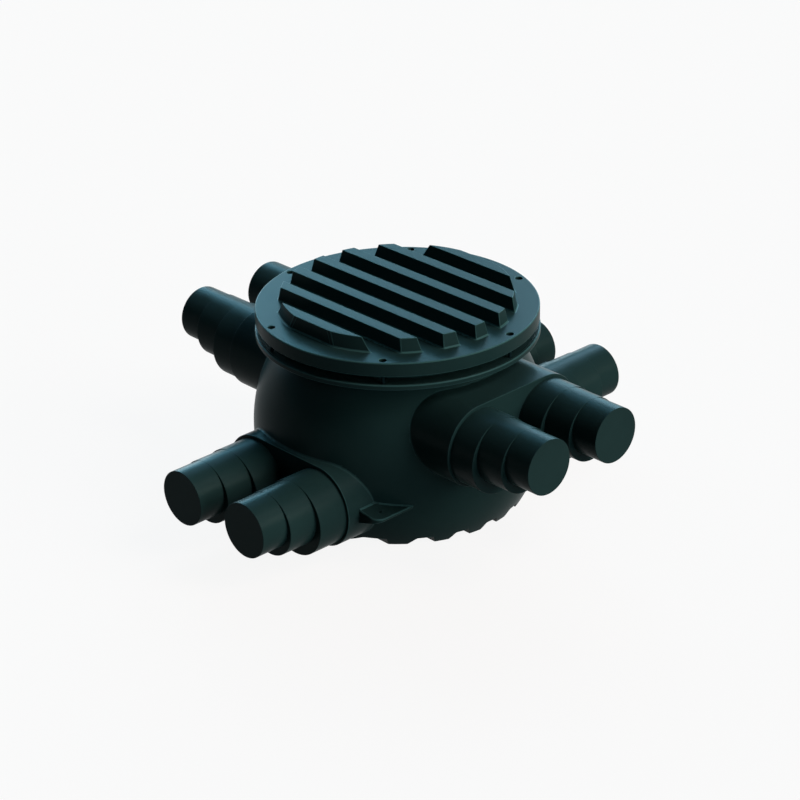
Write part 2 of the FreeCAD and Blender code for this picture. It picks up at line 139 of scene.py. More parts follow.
def lathe(name, line, turns=TURNS):
    """Closed body turned about Z from a line of (radius, height) that starts and ends on the axis."""
    bm = bmesh.new()
    rings = []
    for radius, height in line:
        if radius < 1e-9:
            rings.append([bm.verts.new((0, 0, height))])
            continue
        ring = []
        for k in range(turns):
            angle = 2 * math.pi * k / turns
            ring.append(bm.verts.new((radius * math.cos(angle), radius * math.sin(angle), height)))
        rings.append(ring)
    for low, high in zip(rings, rings[1:]):
        for k in range(turns):
            n = k + 1
            corners = [low[k % len(low)], low[n % len(low)], high[n % len(high)], high[k % len(high)]]
            bm.faces.new(list(dict.fromkeys(corners)))
    return object_from(name, bm)


def loft(name, rows):
    """Closed body through rows of points, with a flat cap on the first and the last row."""
    bm = bmesh.new()
    rings = [[bm.verts.new(point) for point in row] for row in rows]
    for low, high in zip(rings, rings[1:]):
        for k in range(len(low)):
            n = (k + 1) % len(low)
            bm.faces.new((low[k], low[n], high[n], high[k]))
    bm.faces.new(rings[0])
    bm.faces.new(list(reversed(rings[-1])))
    return object_from(name, bm)


def settle(piece):
    """Plain mesh of a piece with its modifiers applied."""
    bpy.context.view_layer.update()
    shaped = piece.evaluated_get(bpy.context.evaluated_depsgraph_get())
    mesh = bpy.data.meshes.new_from_object(shaped)
    piece.modifiers.clear()
    piece.data = mesh
    mesh.name = piece.name
    return piece


def combine(piece, operation, tools):
    """Join the tools to a piece, or cut them from it."""
    for tool in tools:
        step = piece.modifiers.new(tool.name, "BOOLEAN")
        step.object = tool
        step.operation = operation
        step.solver = "MANIFOLD"
    settle(piece)
    for tool in tools:
        bpy.data.objects.remove(tool)
    return piece


def smooth(piece):
    """Smooth shading that stays crisp at sharp edges and even on flat faces."""
    piece.data.shade_smooth()
    piece.data.set_sharp_from_angle(angle=SHARP)
    weigh = piece.modifiers.new("even_normals", "WEIGHTED_NORMAL")
    weigh.keep_sharp = True
    return settle(piece)


def mark_edge_highlights(piece, edges=1.0, fillets=1.0, high_rims=1.0):
    """Marks the narrow faces of soft edges and fillets, where a highlight is painted in a lighter
    colour.

    Level faces and the walls of upright holes stay unmarked.
    """
    bm = bmesh.new()
    bm.from_mesh(piece.data)
    marks = []
    for face in bm.faces:
        bends = [edge for edge in face.edges if HIGHLIGHT_BEND[0] < edge.calc_face_angle(0) < HIGHLIGHT_BEND[1]]
        width = face.calc_area() / max(edge.calc_length() for edge in face.edges)
        if len(face.verts) == 3:
            width *= 2
        spot = face.calc_center_median()
        level = abs(face.normal.z) > LEVEL
        soft = bends and not level and width < HIGHLIGHT_WIDTH and spot.z > GROOVE_DEPTH
        hollow = not all(edge.is_convex for edge in bends)
        bored = hollow and abs(face.normal.z) < UPRIGHT
        mark = fillets if hollow else edges
        if abs(spot.x) > HIGH_REACH - 2 * SHROUD_RIM:
            mark = high_rims
        marks.append(mark if soft and not bored else 0.0)
    bm.free()
    layer = piece.data.attributes.new("rubbed", "FLOAT", "FACE")
    layer.data.foreach_set("value", marks)
    return piece


def level_shading(piece, heights):
    """Shading that points straight up on flat tops at the given heights, up to their fillets."""
    mesh = piece.data
    normals = [corner.vector.copy() for corner in mesh.corner_normals]
    for face in mesh.polygons:
        if face.normal.z < TOP_SLOPE:
            continue
        for corner in face.loop_indices:
            height = mesh.vertices[mesh.loops[corner].vertex_index].co.z
            if min(abs(height - level) for level in heights) < SAME_HEIGHT:
                normals[corner] = Vector((0, 0, 1))
    mesh.normals_split_custom_set(normals)
    return piece


def place(piece, matrix):
    piece.data.transform(matrix)
    return piece


# Chamber body: sphere, flange and seat turned in one line.
def sphere_line(radius, low, high, steps):
    """Points up the sphere between two heights."""
    start = math.asin((low - SPHERE_HEIGHT) / radius)
    stop = math.asin((high - SPHERE_HEIGHT) / radius)
    line = []
    for k in range(steps + 1):
        angle = start + (stop - start) * k / steps
        line.append((radius * math.cos(angle), SPHERE_HEIGHT + radius * math.sin(angle), 0))
    return line


def shell_solid():
    ball = sphere_line(SPHERE_RADIUS, 0.0, FLANGE_UNDERSIDE, 72)
    base = ball[0]
    neck = ball[-1]
    corners = [(0, 0, 0), (base[0], 0, BASE_EDGE)] + ball[1:-2]
    corners += [
        (neck[0], neck[1], NECK_FILLET),
        (FLANGE_RADIUS, FLANGE_UNDERSIDE, FLANGE_EDGE),
        (FLANGE_RADIUS, LIP_TOP, LIP_EDGE),
        (FLANGE_RADIUS - LIP_WIDTH, LIP_TOP, LIP_INNER_EDGE),
        (FLANGE_RADIUS - CHANNEL_EDGE, CHANNEL_FLOOR, LIP_INNER_EDGE),
        (SEAT_RADIUS, CHANNEL_FLOOR, SEAT_FILLET),
        (SEAT_RADIUS, SEAT_TOP, SEAT_EDGE),
        (0, SEAT_TOP, 0),
    ]
    return lathe("chamber_shell", rounded(corners))


def oval_points(radius):
    """Points round an oval as (across, up, normal across, normal up)."""
    points = []
    half_turn, run = 40, 24
    for side in (1, -1):
        for k in range(half_turn + 1):
            angle = math.radians(180 * k / half_turn - 90 * side)
            across, up = math.cos(angle), math.sin(angle)
            points.append((side * HALF_PITCH + radius * across, radius * up, across, up))
        for k in range(1, run):
            points.append((side * HALF_PITCH * (1 - 2 * k / run), side * radius, 0, side))
    return points


def shroud(name, turn, reach, height):
    """Oval shroud with a soft rim and a fillet that rolls onto the sphere."""
    centre = Vector((0, 0, SPHERE_HEIGHT - height))
    sunk = 0.0001
    ball = SPHERE_RADIUS - sunk
    rows = []
    outline = oval_points(SHROUD_RADIUS)
    for k in range(6):
        lean = math.radians(90 * k / 5)
        inset = SHROUD_RIM * (1 - math.sin(lean))
        depth = reach - SHROUD_RIM * (1 - math.cos(lean))
        rows.append([Vector((depth, u - inset * a, v - inset * b)) for u, v, a, b in outline])
    balls = []
    for u, v, a, b in outline:
        middle = Vector((0, u + SHROUD_FILLET * a, v + SHROUD_FILLET * b))
        flat = (middle - centre).length
        middle.x = math.sqrt((ball + SHROUD_FILLET) ** 2 - flat ** 2)
        onto_wall = Vector((0, -a, -b))
        onto_ball = (centre - middle).normalized()
        balls.append((middle, onto_wall, onto_ball))
    for k in range(9):
        rows.append([c + wall.slerp(sphere, k / 8) * SHROUD_FILLET for c, wall, sphere in balls])
    # Two more rows close the body inside the sphere.
    inside, root, narrow = 0.95, 0.15, 0.6
    rows.append([centre + (point - centre) * inside for point in rows[-1]])
    rows.append([Vector((root, u * narrow, v * narrow)) for u, v, a, b in outline])
    body = loft(name, rows)
    return place(body, Matrix.Translation((0, 0, height)) @ Matrix.Rotation(turn, 4, "Z"))


def lug_height(x, root, tip):
    """Height of a lug's top or foot, which slope towards its free edge."""
    return root + (tip - root) * (x - LUG_ROOT_X) / (LUG_TIP_X - LUG_ROOT_X)


def lug(name, side_x, side_y):
    """Corner plate with soft edges, thinner towards its free edge."""

    def ring(inset, sunk, root, tip):
        far_x, far_y = LUG_TIP_X - inset, LUG_Y - inset
        bend = LUG_CORNER - inset
        line = [(LUG_INNER_X, LUG_INNER_Y), (far_x, LUG_INNER_Y)]
        for k in range(13):
            angle = math.radians(90 * k / 12)
            line.append((far_x - bend + bend * math.cos(angle), far_y - bend + bend * math.sin(angle)))
        line.append((LUG_INNER_X, far_y))
        return [Vector((side_x * x, side_y * y, lug_height(x, root, tip) + sunk)) for x, y in line]

    rows = []
    for k in range(6):
        lean = math.radians(90 * k / 5)
        inset, sunk = LUG_EDGE * (1 - math.sin(lean)), LUG_EDGE * (1 - math.cos(lean))
        rows.append(ring(inset, -sunk, LUG_TOP_ROOT, LUG_TOP_TIP))
    for k in range(6):
        lean = math.radians(90 * k / 5)
        inset, sunk = LUG_EDGE / 2 * (1 - math.cos(lean)), LUG_EDGE / 2 * (1 - math.sin(lean))
        rows.append(ring(inset, sunk, LUG_FOOT_ROOT, LUG_FOOT_TIP))
    return loft(name, rows)


def lug_bead_path(side_x, side_y):
    """Points along the corner between a lug's top, the shroud's side and the sphere."""
    path = []
    past, turn_gap = 0.001, 0.004
    rise = LUG_TOP_ROOT - LOW_HEIGHT
    wall_x = HALF_PITCH + math.sqrt(SHROUD_RADIUS ** 2 - rise ** 2)

    def sphere_y(x):
        z = lug_height(x, LUG_TOP_ROOT, LUG_TOP_TIP)
        return math.sqrt(SPHERE_RADIUS ** 2 - x ** 2 - (z - SPHERE_HEIGHT) ** 2)

    turn_y = sphere_y(wall_x)
    for k in range(9):
        path.append((wall_x, LUG_Y - past + (turn_y + turn_gap - LUG_Y + past) * k / 8))
    for k in range(15):
        x = wall_x + turn_gap + (LUG_TIP_X + past - wall_x - turn_gap) * k / 14
        path.append((x, sphere_y(x)))
    return [(side_x * x, side_y * y, lug_height(x, LUG_TOP_ROOT, LUG_TOP_TIP)) for x, y in path]


def bead_tree():
    """Round bead along each line of edges."""
    tree = new_tree(
        "bead_run",
        [
            ("Radius", "NodeSocketFloat"),
            ("Sides", "NodeSocketInt"),
            ("Finish", "NodeSocketMaterial"),
        ],
    )
    add = tree.nodes.new
    link = tree.links.new
    given = add("NodeGroupInput")
    out = add("NodeGroupOutput")
    run = add("GeometryNodeMeshToCurve")
    section = add("GeometryNodeCurvePrimitiveCircle")
    sweep = add("GeometryNodeCurveToMesh")
    sweep.inputs["Fill Caps"].default_value = True
    real = add("GeometryNodeRealizeInstances")
    finish = add("GeometryNodeSetMaterial")
    link(given.outputs["Geometry"], run.inputs["Mesh"])
    link(given.outputs["Sides"], section.inputs["Resolution"])
    link(given.outputs["Radius"], section.inputs["Radius"])
    link(run.outputs["Curve"], sweep.inputs["Curve"])
    link(section.outputs["Curve"], sweep.inputs["Profile Curve"])
    link(sweep.outputs["Mesh"], real.inputs["Geometry"])
    link(real.outputs["Geometry"], finish.inputs["Geometry"])
    link(given.outputs["Finish"], finish.inputs["Material"])
    link(finish.outputs["Geometry"], out.inputs["Geometry"])
    return tree


def lug_beads(finish):
    points, edges = [], []
    for side_x, side_y in CORNERS:
        path = lug_bead_path(side_x, side_y)
        first = len(points)
        points += path
        edges += [(first + k, first + k + 1) for k in range(len(path) - 1)]
    values = {"Radius": LUG_BEAD, "Sides": 16, "Finish": finish}
    return grow("lug_beads", bead_tree(), values, points, edges)


def drum(name, radius, low, high, turns=64):
    return lathe(name, [(0, low), (radius, low), (radius, high), (0, high)], turns)


def oval_block(name, radius, reach, height, turn):
    outline = oval_points(radius)
    rows = [[Vector((depth, u, v)) for u, v, a, b in outline] for depth in (reach, -reach)]
    return place(loft(name, rows), Matrix.Translation((0, 0, height)) @ Matrix.Rotation(turn, 4, "Z"))


def groove(name, y):
    """Cutter for one groove under the base, its roof corners turned on a radius."""
    slope = (GROOVE_MOUTH - GROOVE_ROOF) / 2 / GROOVE_DEPTH
    below = 0.001
    mouth, roof = GROOVE_MOUTH / 2 + below * slope, GROOVE_ROOF / 2
    corners = [
        (-mouth, -below, 0),
        (mouth, -below, 0),
        (roof, GROOVE_DEPTH, GROOVE_BEND),
        (-roof, GROOVE_DEPTH, GROOVE_BEND),
        (-mouth, -below, 0),
    ]
    section = rounded(corners)[:-1]
    rows = []
    for x in (-SPHERE_RADIUS, SPHERE_RADIUS):
        rows.append([Vector((x, y + across, up)) for across, up in section])
    return loft(name, rows)


def chamber_rooms():
    """Cutters for the room inside the sphere and for the ways from it into the stubs."""
    past = 0.01
    ball = sphere_line(SPHERE_RADIUS - WALL, FLOOR_TOP, FLANGE_UNDERSIDE, 60)
    inner = [(0, FLOOR_TOP)] + [(r, z) for r, z, _ in ball]
    inner += [(MOUTH_RADIUS, SEAT_TOP + past), (0, SEAT_TOP + past)]
    rooms = [lathe("room", inner)]
    for turn, reach, height in ((0, HIGH_REACH, HIGH_HEIGHT), (QUARTER, LOW_REACH, LOW_HEIGHT)):
        rooms.append(oval_block("shroud_room", SHROUD_RADIUS - WALL, reach - WALL, height, turn))
        for side in (1, -1):
            way = drum("way", STUB_RADII[0] - STUB_WALL, -reach - past, reach + past, 96)
            aside = Matrix.Translation((0, side * HALF_PITCH, height))
            laid = Matrix.Rotation(QUARTER, 4, "Y")
            rooms.append(place(way, Matrix.Rotation(turn, 4, "Z") @ aside @ laid))
    return rooms


def bolt_spots():
    """Places of the bolts' axes."""
    spots = []
    for k in range(BOLT_COUNT):
        angle = BOLT_TURN + 2 * math.pi * k / BOLT_COUNT
        x, y = BOLT_CIRCLE * math.cos(angle), BOLT_CIRCLE * math.sin(angle)
        spots.append(Matrix.Translation((x, y, 0)))
    return spots


def chamber_body(finish):
    body = shell_solid()
    joined = [
        shroud("shroud_a", 0, HIGH_REACH, HIGH_HEIGHT),
        shroud("shroud_b", 2 * QUARTER, HIGH_REACH, HIGH_HEIGHT),
        shroud("shroud_c", QUARTER, LOW_REACH, LOW_HEIGHT),
        shroud("shroud_d", -QUARTER, LOW_REACH, LOW_HEIGHT),
    ]
    for side_x, side_y in CORNERS:
        joined.append(lug("lug", side_x, side_y))
    joined.append(lug_beads(finish))
    combine(body, "UNION", joined)
    cut = chamber_rooms()
    for k in range(RIB_COUNT):
        cut.append(groove("groove", (k - (RIB_COUNT - 1) / 2) * RIB_PITCH))
    below, above = 0.002, 0.01
    for side_x, side_y in CORNERS:
        hole = drum("lug_hole", LUG_HOLE_RADIUS, LUG_FOOT_ROOT - below, LUG_TOP_ROOT + above, 32)
        cut.append(place(hole, Matrix.Translation((side_x * LUG_HOLE[0], side_y * LUG_HOLE[1], 0))))
    for spot in bolt_spots():
        cut.append(place(drum("insert_hole", INSERT_RADIUS, SHANK_FOOT, INSERT_CUT_TOP, 32), spot))
    combine(body, "DIFFERENCE", cut)
    # Painted highlights on the edges, fainter on fillets and on the high shrouds' rims.
    return mark_edge_highlights(smooth(body), edges=0.75, fillets=0.3, high_rims=0.2)


# Stubs: one stepped, hollow stub for each level, repeated at its four places.
def stub_row(x, step, rim, lean):
    """Round of a stub's step at x; the rim is turned by lean, and runs out at the crown."""
    radius = STUB_RADII[step]
    axis = STUB_CROWN - STUB_CROWN_STEP * step - radius
    row = []
    for k in range(STUB_TURNS):
        angle = 2 * math.pi * k / STUB_TURNS
        soft = rim
        if step < 2:
            next_radius = STUB_RADII[step + 1]
            next_axis = STUB_CROWN - STUB_CROWN_STEP * (step + 1) - next_radius
            rise = axis + radius * math.cos(angle) - next_axis
            gap = math.hypot(radius * math.sin(angle), rise) - next_radius
            soft = min(rim, STUB_RIM_SHARE * gap)
        reach = radius - soft * (1 - math.cos(lean))
        depth = x - soft * (1 - math.sin(lean))
        row.append(Vector((depth, reach * math.sin(angle), axis + reach * math.cos(angle))))
    return row


def stub_shape(lengths):
    """Stepped stub along X, closed at its tip and level along its crown."""
    sunk, past = 0.001, 0.002
    rows, hollows = [], []
    start = -sunk
    end = 0
    for step, length in enumerate(lengths):
        end += length
        rows.append(stub_row(start, step, 0, QUARTER))
        for k in range(5):
            rows.append(stub_row(end, step, STUB_RIM, math.radians(90 * k / 4)))
        start = end
        bore = drum("bore", STUB_RADII[step] - STUB_WALL, -past, end - STUB_WALL, 96)
        down = Matrix.Translation((0, 0, -STUB_RADII[step]))
        hollows.append(place(bore, down @ Matrix.Rotation(QUARTER, 4, "Y")))
    stub = loft("stub", rows)
    # Painted highlights on the stubs' edges.
    return mark_edge_highlights(smooth(combine(stub, "DIFFERENCE", hollows)))


# Geometry Nodes helpers.
def new_tree(name, inputs):
    """Tree with named inputs, given as (name, socket type), and a geometry output."""
    tree = bpy.data.node_groups.new(name, "GeometryNodeTree")
    tree.interface.new_socket("Geometry", in_out="INPUT", socket_type="NodeSocketGeometry")
    for label, kind in inputs:
        tree.interface.new_socket(label, in_out="INPUT", socket_type=kind)
    tree.interface.new_socket("Geometry", in_out="OUTPUT", socket_type="NodeSocketGeometry")
    return tree


def grow(name, tree, values, seeds, edges=()):
    """Plain mesh that a tree makes from seed points and edges, with its inputs set by identifier."""
    mesh = bpy.data.meshes.new(name)
    mesh.from_pydata(seeds, edges, [])
    piece = bpy.data.objects.new(name, mesh)
    bpy.context.scene.collection.objects.link(piece)
    step = piece.modifiers.new(tree.name, "NODES")
    step.node_group = tree
    for item in tree.interface.items_tree:
        if item.in_out == "INPUT" and item.name in values:
            step[item.identifier] = values[item.name]
    return settle(piece)


def stub_tree():
    """A stub at each seed point, turned to face away from the middle of its side."""
    tree = new_tree(
        "stub_places",
        [
            ("Stub", "NodeSocketObject"),
            ("Finish", "NodeSocketMaterial"),
            ("Long Side", "NodeSocketFloat"),
        ],
    )
    add = tree.nodes.new
    given = add("NodeGroupInput")
    out = add("NodeGroupOutput")
    spot = add("GeometryNodeInputPosition")
    split = add("ShaderNodeSeparateXYZ")
    size_x = add("ShaderNodeMath")
    size_x.operation = "ABSOLUTE"
    on_x = add("ShaderNodeMath")
    on_x.operation = "GREATER_THAN"
    keep_x = add("ShaderNodeMath")
    keep_x.operation = "MULTIPLY"
    flip = add("ShaderNodeMath")
    flip.operation = "SUBTRACT"
    flip.inputs[0].default_value = 1.0
    keep_y = add("ShaderNodeMath")
    keep_y.operation = "MULTIPLY"
    angle = add("ShaderNodeMath")
    angle.operation = "ARCTAN2"
    turn = add("ShaderNodeCombineXYZ")
    shape = add("GeometryNodeObjectInfo")
    stand = add("GeometryNodeInstanceOnPoints")
    real = add("GeometryNodeRealizeInstances")
    finish = add("GeometryNodeSetMaterial")
    link = tree.links.new
    link(spot.outputs["Position"], split.inputs["Vector"])
    link(split.outputs["X"], size_x.inputs[0])
    link(size_x.outputs[0], on_x.inputs[0])
    link(given.outputs["Long Side"], on_x.inputs[1])
    link(split.outputs["X"], keep_x.inputs[0])
    link(on_x.outputs[0], keep_x.inputs[1])
    link(on_x.outputs[0], flip.inputs[1])
    link(split.outputs["Y"], keep_y.inputs[0])
    link(flip.outputs[0], keep_y.inputs[1])
    link(keep_y.outputs[0], angle.inputs[0])
    link(keep_x.outputs[0], angle.inputs[1])
    link(angle.outputs[0], turn.inputs["Z"])
    link(given.outputs["Stub"], shape.inputs["Object"])
    link(given.outputs["Geometry"], stand.inputs["Points"])
    link(shape.outputs["Geometry"], stand.inputs["Instance"])
    link(turn.outputs["Vector"], stand.inputs["Rotation"])
    link(stand.outputs["Instances"], real.inputs["Geometry"])
    link(real.outputs["Geometry"], finish.inputs["Geometry"])
    link(given.outputs["Finish"], finish.inputs["Material"])
    link(finish.outputs["Geometry"], out.inputs["Geometry"])
    return tree


def pipe_stubs(level, lengths, finish):
    seeds, names = [], []
    for k in range(1, 5):
        name = "stub_%s_%d" % (level, k)
        low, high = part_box(name)
        middle = (low + high) / 2
        crown = high.z - STUB_SEED_DROP
        if level == "high":
            seeds.append((math.copysign(min(abs(low.x), abs(high.x)), middle.x), middle.y, crown))
        else:
            seeds.append((middle.x, math.copysign(min(abs(low.y), abs(high.y)), middle.y), crown))
        names.append(name)
    shape = stub_shape(lengths)
    values = {"Stub": shape, "Finish": finish, "Long Side": LONG_SIDE}
    piece = grow("pipe_stubs_" + level, stub_tree(), values, seeds)
    bpy.data.objects.remove(shape)
    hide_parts(*names)
    return piece


# Lid: plate turned in one line, ribs grown along a row, wells cut for the bolts.
def rib_bar(half_length):
    """Bar with soft edges and a flared foot, whose ends are bent to the lid's round later."""
    drop, least_bend = 0.0002, 0.0002
    levels = []
    for k in range(6):
        lean = math.radians(90 * k / 5)
        flare = RIB_FOOT_FILLET * (1 - math.sin(lean))
        rise = RIB_FOOT_FILLET * (1 - math.cos(lean))
        levels.append((rise - drop, flare))
    for k in range(6):
        lean = math.radians(90 * k / 5)
        rise = RIB_HEIGHT - RIB_EDGE * (1 - math.sin(lean))
        levels.append((rise, -RIB_EDGE * (1 - math.cos(lean))))
    rows = []
    for rise, offset in levels:
        share = max(rise, 0) / RIB_HEIGHT
        half_width = RIB_FOOT_HALF + (RIB_TOP_HALF - RIB_FOOT_HALF) * share + offset
        length = half_length - RIB_END_DRAFT * share + offset
        bend = max(RIB_BEND + offset, least_bend)
        corner = length - bend
        flank = half_width - bend
        row = []
        for side in (1, -1):
            for k in range(7):
                angle = math.radians(-90 + 90 * k / 6)
                along, across = bend * math.cos(angle), bend * math.sin(angle)
                row.append((side * (corner + along), side * (across - flank)))
            for k in range(1, 10):
                row.append((side * length, side * flank * (-1 + 2 * k / 10)))
            for k in range(7):
                angle = math.radians(90 * k / 6)
                along, across = bend * math.cos(angle), bend * math.sin(angle)
                row.append((side * (corner + along), side * (across + flank)))
        rows.append([Vector((x, y, LID_TOP + rise)) for x, y in row])
    return loft("rib_bar", rows)


def rib_tree():
    """Row of bars along Y, each end moved to the round that the lid gives it."""
    tree = new_tree(
        "lid_rib_row",
        [
            ("Bar", "NodeSocketObject"),
            ("Count", "NodeSocketInt"),
            ("Pitch", "NodeSocketFloat"),
            ("Start", "NodeSocketFloat"),
            ("End Radius", "NodeSocketFloat"),
            ("Bar Half Length", "NodeSocketFloat"),
            ("Finish", "NodeSocketMaterial"),
        ],
    )
    add = tree.nodes.new
    link = tree.links.new

    def sum_node(operation, first, second=None):
        node = add("ShaderNodeMath")
        node.operation = operation
        link(first, node.inputs[0])
        if second is not None:
            link(second, node.inputs[1])
        return node.outputs[0]

    given = add("NodeGroupInput")
    out = add("NodeGroupOutput")
    first = add("ShaderNodeCombineXYZ")
    pitch = add("ShaderNodeCombineXYZ")
    row = add("GeometryNodeMeshLine")
    shape = add("GeometryNodeObjectInfo")
    stand = add("GeometryNodeInstanceOnPoints")
    real = add("GeometryNodeRealizeInstances")
    move = add("GeometryNodeSetPosition")
    finish = add("GeometryNodeSetMaterial")
    link(given.outputs["Start"], first.inputs["Y"])
    link(given.outputs["Pitch"], pitch.inputs["Y"])
    link(given.outputs["Count"], row.inputs["Count"])
    link(first.outputs["Vector"], row.inputs["Start Location"])
    link(pitch.outputs["Vector"], row.inputs["Offset"])
    link(given.outputs["Bar"], shape.inputs["Object"])
    link(row.outputs["Mesh"], stand.inputs["Points"])
    link(shape.outputs["Geometry"], stand.inputs["Instance"])
    link(stand.outputs["Instances"], real.inputs["Geometry"])
    link(real.outputs["Geometry"], move.inputs["Geometry"])
    spot = add("GeometryNodeInputPosition")
    split = add("ShaderNodeSeparateXYZ")
    link(spot.outputs["Position"], split.inputs["Vector"])
    along = sum_node("ABSOLUTE", split.outputs["X"])
    side = sum_node("SIGN", split.outputs["X"])
    past_end = sum_node("SUBTRACT", along, given.outputs["Bar Half Length"])
    radius = sum_node("ADD", given.outputs["End Radius"], past_end)
    radius_2 = sum_node("MULTIPLY", radius, radius)
    across_2 = sum_node("MULTIPLY", split.outputs["Y"], split.outputs["Y"])
    reach = sum_node("SQRT", sum_node("SUBTRACT", radius_2, across_2))
    new_x = sum_node("MULTIPLY", reach, side)
    where = add("ShaderNodeCombineXYZ")
    link(new_x, where.inputs["X"])
    link(split.outputs["Y"], where.inputs["Y"])
    link(split.outputs["Z"], where.inputs["Z"])
    link(where.outputs["Vector"], move.inputs["Position"])
    link(move.outputs["Geometry"], finish.inputs["Geometry"])
    link(given.outputs["Finish"], finish.inputs["Material"])
    link(finish.outputs["Geometry"], out.inputs["Geometry"])
    return tree


def lid(finish):
    line = rounded(
        [
            (0, SKIN_BOTTOM, 0),
            (RECESS_RADIUS, SKIN_BOTTOM, RECESS_BEND),
            (RECESS_RADIUS, LID_BOTTOM, LID_FOOT_EDGE),
            (LID_RADIUS, LID_BOTTOM, LID_FOOT_EDGE),
            (LID_RADIUS, LID_TOP, LID_EDGE),
            (0, LID_TOP, 0),
        ]
    )
    plate = lathe("lid_cover", line, 256)
    half_length = 0.5
    bar = rib_bar(half_length)
    values = {
        "Bar": bar,
        "Count": RIB_COUNT,
        "Pitch": RIB_PITCH,
        "Start": -RIB_PITCH * (RIB_COUNT - 1) / 2,
        "End Radius": RIB_END_RADIUS,
        "Bar Half Length": half_length,
        "Finish": finish,
    }
    ribs = grow("lid_ribs", rib_tree(), values, [])
    bpy.data.objects.remove(bar)
    combine(plate, "UNION", [ribs])
    past = 0.001
    well = [(0, WELL_FLOOR), (WELL_RADIUS, WELL_FLOOR)]
    for k in range(5):
        lean = math.radians(90 * k / 4)
        across = WELL_RADIUS + WELL_EDGE * (1 - math.cos(lean))
        well.append((across, LID_TOP - WELL_EDGE * (1 - math.sin(lean))))
    well += [(WELL_RADIUS + WELL_EDGE, LID_TOP + past), (0, LID_TOP + past)]
    cut = []
    for spot in bolt_spots():
        cut.append(place(lathe("well", well, 48), spot))
        hole = drum("shank_hole", SHANK_RADIUS + SHANK_PLAY, LID_BOTTOM - past, WELL_FLOOR + past, 32)
        cut.append(place(hole, spot))
    combine(plate, "DIFFERENCE", cut)
    plate.data.materials.clear()
    plate.data.materials.append(finish)
    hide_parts("lid")
    # Painted highlights on the lid's edges.
    return mark_edge_highlights(level_shading(smooth(plate), (LID_TOP, LID_TOP + RIB_HEIGHT)))


# Bolts: hexagon head with a collar, repeated on the bolt circle.
def bolt_shape():
    line = rounded(
        [
            (0, SHANK_FOOT, 0),
            (SHANK_RADIUS, SHANK_FOOT, SHANK_EDGE),
            (SHANK_RADIUS, WELL_FLOOR, 0),
            (COLLAR_RADIUS, WELL_FLOOR, COLLAR_FOOT_EDGE),
            (COLLAR_RADIUS, COLLAR_TOP, COLLAR_EDGE),
            (0, COLLAR_TOP, 0),
        ],
        3,
    )
    bolt = lathe("bolt", line, 48)
    angles = [math.radians(60 * k) for k in range(6)]
    points = [(HEAD_RADIUS * math.sin(a), HEAD_RADIUS * math.cos(a)) for a in angles]
    hexagon = []
    for height in (COLLAR_TOP - HEAD_SUNK, HEAD_TOP):
        hexagon.append([Vector((x, y, height)) for x, y in points])
    head = loft("head", hexagon)
    wide, low = 0.009, 0.48
    flat, drop = HEAD_CHAMFER
    chamfer = [(0, low), (wide, low), (wide, HEAD_TOP - drop), (flat, HEAD_TOP), (0, HEAD_TOP)]
    combine(head, "INTERSECT", [lathe("dome", chamfer, 48)])
    return smooth(combine(bolt, "UNION", [head]))


def bolt_tree():
    """A bolt at each corner of a ring."""
    tree = new_tree(
        "bolt_ring",
        [
            ("Bolt", "NodeSocketObject"),
            ("Count", "NodeSocketInt"),
            ("Circle", "NodeSocketFloat"),
            ("Turn", "NodeSocketFloat"),
            ("Finish", "NodeSocketMaterial"),
        ],
    )
    add = tree.nodes.new
    link = tree.links.new
    given = add("NodeGroupInput")
    out = add("NodeGroupOutput")
    ring = add("GeometryNodeMeshCircle")
    turn = add("ShaderNodeCombineXYZ")
    spin = add("GeometryNodeTransform")
    shape = add("GeometryNodeObjectInfo")
    stand = add("GeometryNodeInstanceOnPoints")
    real = add("GeometryNodeRealizeInstances")
    finish = add("GeometryNodeSetMaterial")
    link(given.outputs["Count"], ring.inputs["Vertices"])
    link(given.outputs["Circle"], ring.inputs["Radius"])
    link(given.outputs["Turn"], turn.inputs["Z"])
    link(ring.outputs["Mesh"], spin.inputs["Geometry"])
    link(turn.outputs["Vector"], spin.inputs["Rotation"])
    link(given.outputs["Bolt"], shape.inputs["Object"])
    link(spin.outputs["Geometry"], stand.inputs["Points"])
    link(shape.outputs["Geometry"], stand.inputs["Instance"])
    link(stand.outputs["Instances"], real.inputs["Geometry"])
    link(real.outputs["Geometry"], finish.inputs["Geometry"])
    link(given.outputs["Finish"], finish.inputs["Material"])
    link(finish.outputs["Geometry"], out.inputs["Geometry"])
    return tree


def lid_bolts(finish):
    shape = bolt_shape()
    values = {
        "Bolt": shape,
        "Count": BOLT_COUNT,
        "Circle": BOLT_CIRCLE,
        "Turn": BOLT_TURN,
        "Finish": finish,
    }
    piece = grow("lid_bolts", bolt_tree(), values, [])
    bpy.data.objects.remove(shape)
    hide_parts(*["lid_bolt_%d" % (k + 1) for k in range(BOLT_COUNT)])
    return piece


